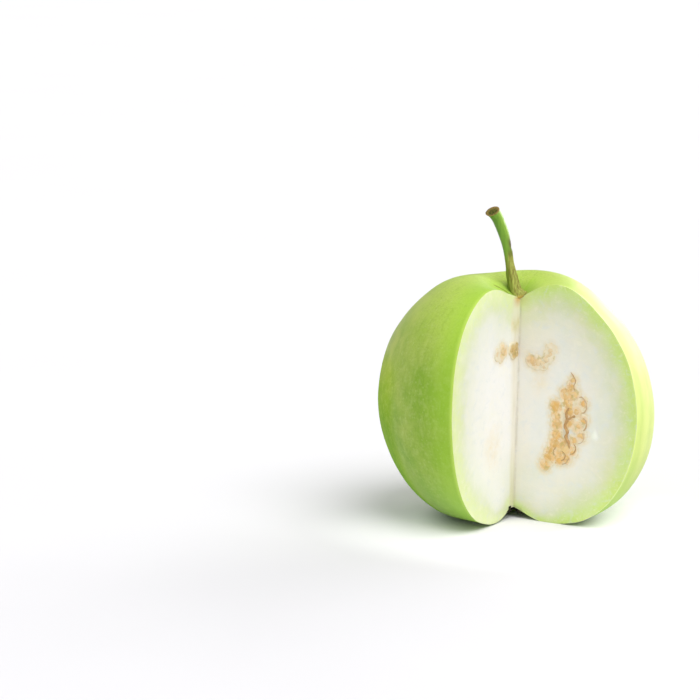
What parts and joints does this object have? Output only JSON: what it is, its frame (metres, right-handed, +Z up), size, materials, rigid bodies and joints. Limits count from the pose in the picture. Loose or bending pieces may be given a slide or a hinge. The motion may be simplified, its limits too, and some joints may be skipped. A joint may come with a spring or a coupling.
{
  "type": "guava",
  "caption": "Pale green guava standing upright with its stalk, one quarter cut out to show white flesh and clusters of seeds.",
  "frame": {"origin": "middle of the fruit's outline seen from above, on the surface that it stands on", "axes": "+Z up along the core to the stalk; the right cut face looks along -Y and the left cut face along +X"},
  "size_m": [0.0907, 0.086, 0.1046],
  "materials": {
    "skin_and_flesh": "thin waxy pale green skin, moist white flesh on the cut faces",
    "stalk": "fresh green stalk, dry brown fibres at its foot",
    "calyx": "dry dark brown remains of the flower",
    "seeds": "small tan seeds in soft moist pulp"
  },
  "bodies": {
    "root": {"fruit": "skin_and_flesh", "stalk": "stalk", "calyx": "calyx", "seeds_main": "seeds", "seeds_upper": "seeds", "seeds_left": "seeds", "seeds_core": "seeds"}
  },
  "joints": []
}
